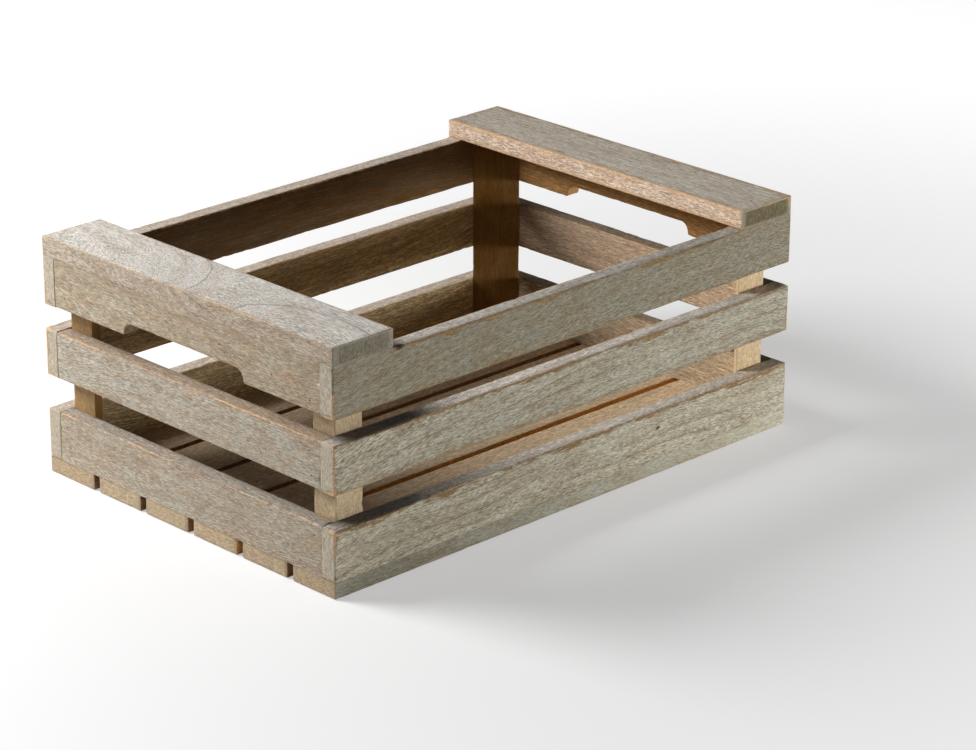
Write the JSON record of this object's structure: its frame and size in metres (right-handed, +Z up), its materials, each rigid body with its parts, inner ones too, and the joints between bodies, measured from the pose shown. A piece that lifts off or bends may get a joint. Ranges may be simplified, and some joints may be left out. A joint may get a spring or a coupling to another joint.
{
  "type": "slatted wooden crate",
  "caption": "Open-topped slatted wooden crate with gapped floor boards, triangular corner posts, flat end caps and notched hand-holds.",
  "frame": {"origin": "on the ground under the middle of the crate", "axes": "+X along the length towards the right end, -Y towards the front long side, +Z up"},
  "size_m": [0.375, 0.2554, 0.15],
  "materials": {
    "floor_wood": "weathered, stained brown",
    "long_slat_wood": "grey-washed, open grain",
    "end_slat_wood": "grey-washed, warm, open grain",
    "cap_wood": "grey-washed, pale, open grain",
    "post_wood": "bare, pale tan"
  },
  "bodies": {
    "root": {"floor_board_1": "floor_wood", "floor_board_2": "floor_wood", "floor_board_3": "floor_wood", "floor_board_4": "floor_wood", "floor_board_5": "floor_wood", "floor_board_6": "floor_wood", "front_slat_lower": "long_slat_wood", "front_slat_middle": "long_slat_wood", "front_slat_upper": "long_slat_wood", "back_slat_lower": "long_slat_wood", "back_slat_middle": "long_slat_wood", "back_slat_upper": "long_slat_wood", "left_slat_lower": "end_slat_wood", "left_slat_middle": "end_slat_wood", "left_slat_upper": "end_slat_wood", "right_slat_lower": "end_slat_wood", "right_slat_middle": "end_slat_wood", "right_slat_upper": "end_slat_wood", "left_cap": "cap_wood", "right_cap": "cap_wood", "post_front_left": "post_wood", "post_front_right": "post_wood", "post_back_left": "post_wood", "post_back_right": "post_wood"}
  },
  "joints": []
}
